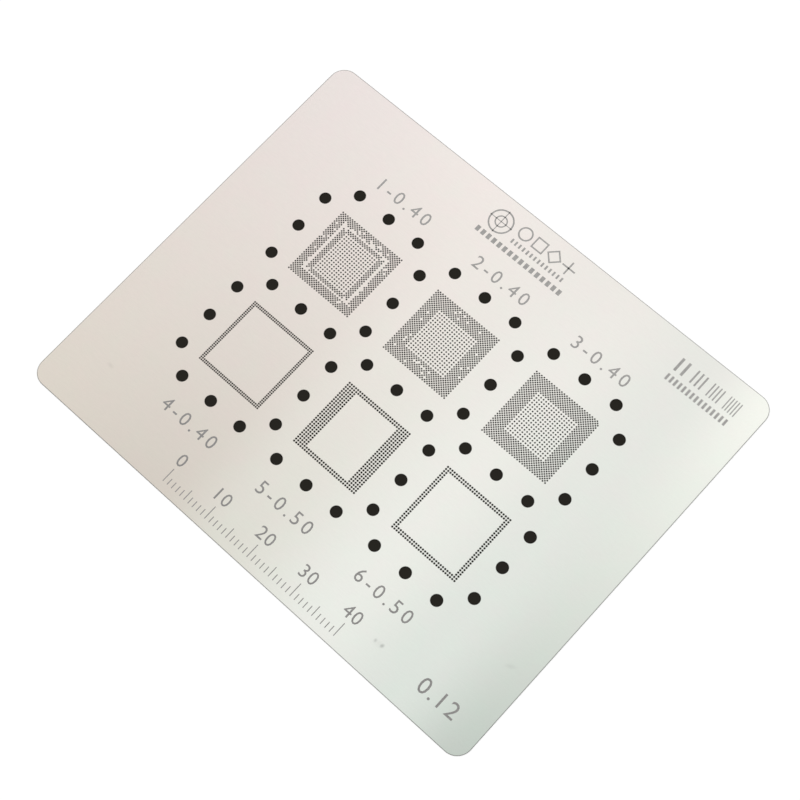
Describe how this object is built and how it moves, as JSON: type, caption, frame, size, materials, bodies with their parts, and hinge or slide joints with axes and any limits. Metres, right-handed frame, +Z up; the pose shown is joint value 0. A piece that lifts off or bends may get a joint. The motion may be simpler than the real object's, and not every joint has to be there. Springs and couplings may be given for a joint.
{
  "type": "solder paste stencil",
  "caption": "Thin flat metal foil with rounded corners, round vents and dense arrays of small round apertures for printing solder paste on chip ball grids.",
  "frame": {"origin": "middle of the underside, where the foil rests", "axes": "+X along the long edge, +Y along the short edge, +Z up through the foil"},
  "size_m": [0.1006, 0.0806, 0.0001],
  "materials": {
    "stainless_foil": "satin rolled stainless foil, laser cut and deburred, with grey etched marks"
  },
  "bodies": {
    "root": {"stencil_sheet": "stainless_foil"}
  },
  "joints": []
}
